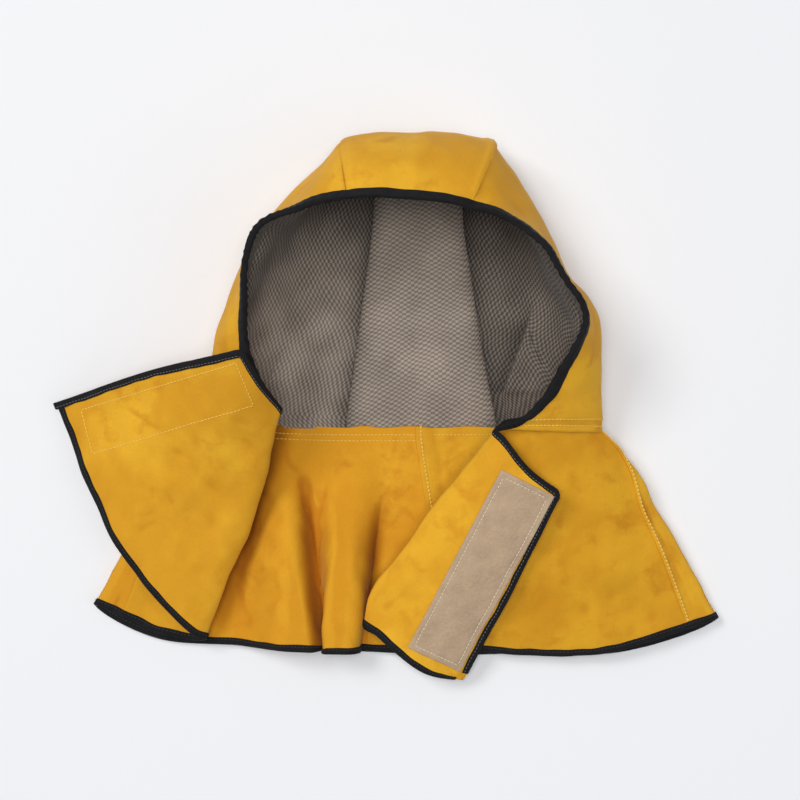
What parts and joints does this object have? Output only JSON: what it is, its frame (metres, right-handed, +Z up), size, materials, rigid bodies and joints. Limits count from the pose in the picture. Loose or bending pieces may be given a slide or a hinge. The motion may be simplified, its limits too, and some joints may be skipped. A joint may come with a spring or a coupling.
{
  "type": "flame-resistant welding hood",
  "caption": "Split-leather welding hood lying on its back, with a net-lined face opening, a shoulder cape folded open at both front corners, black edge binding and a hook-and-loop closure.",
  "frame": {"origin": "on the floor under the middle of the part's box", "axes": "+X to the right as seen from above, +Y towards the crown, +Z up out of the face opening"},
  "size_m": [0.561, 0.4564, 0.1233],
  "materials": {
    "leather": "golden split leather with a suede nap",
    "net_lining": "taupe net over dark cloth",
    "binding_tape": "matt black woven tape",
    "closure_strip": "beige hook-and-loop pile"
  },
  "bodies": {
    "root": {"hood_centre_panel": "leather", "hood_side_left": "leather", "hood_side_right": "leather", "cape_back_left": "leather", "cape_back_right": "leather", "cape_front_left": "leather", "cape_front_right": "leather", "lining_centre": "net_lining", "lining_left": "net_lining", "lining_right": "net_lining", "face_binding": "binding_tape", "front_binding_left": "binding_tape", "front_binding_right": "binding_tape", "hem_binding": "binding_tape", "closure_strip_left": "closure_strip", "closure_strip_right": "closure_strip"}
  },
  "joints": []
}
